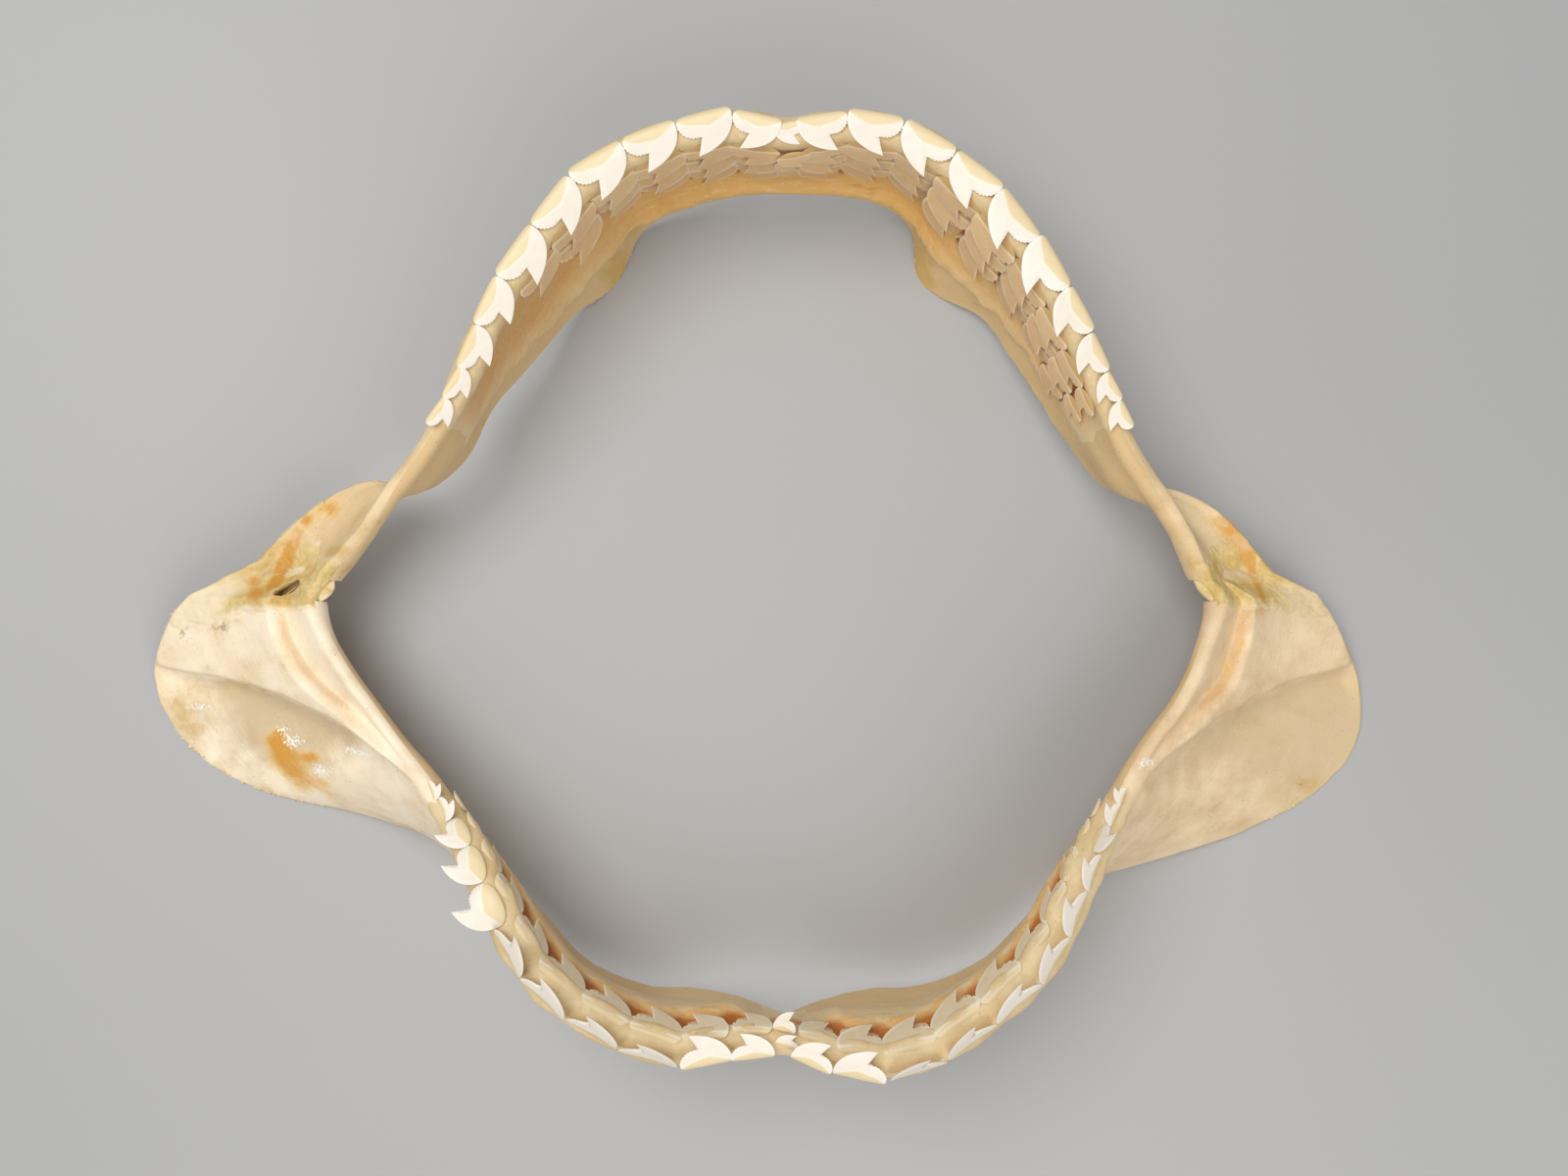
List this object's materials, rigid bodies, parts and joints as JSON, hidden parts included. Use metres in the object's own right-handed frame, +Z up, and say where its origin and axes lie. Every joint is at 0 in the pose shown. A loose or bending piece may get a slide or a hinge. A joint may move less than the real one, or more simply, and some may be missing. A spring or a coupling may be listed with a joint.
{
  "type": "tiger shark jaws",
  "caption": "Dried tiger shark jaws, spread wide open and lying on their back edges: two hinged loops of cartilage with rows of notched, cockscomb-shaped teeth.",
  "frame": {"origin": "centre of the bounding box on the plane that the jaws rest on", "axes": "+Z up, out of the tooth side; +Y towards the upper jaw's front; +X to the right as seen from above"},
  "size_m": [0.4333, 0.308, 0.0772],
  "materials": {
    "cartilage": "dry ivory to tan calcified cartilage, finely fibrous, satin",
    "tooth": "ivory-white enamel, satin gloss, with finely notched edges",
    "gum": "dried ochre gum tissue, slightly translucent, leathery",
    "ligament": "dried yellow-brown fibrous ligament, torn at its edges"
  },
  "bodies": {
    "root": {"upper_jaw_right": "cartilage", "upper_jaw_left": "cartilage", "lower_jaw_right": "cartilage", "lower_jaw_left": "cartilage", "upper_teeth_right": "tooth", "upper_teeth_left": "tooth", "lower_teeth_right": "tooth", "lower_teeth_left": "tooth", "upper_symphysis": "gum", "lower_symphysis": "gum", "joint_capsule_right": "ligament", "joint_capsule_left": "ligament"}
  },
  "joints": []
}
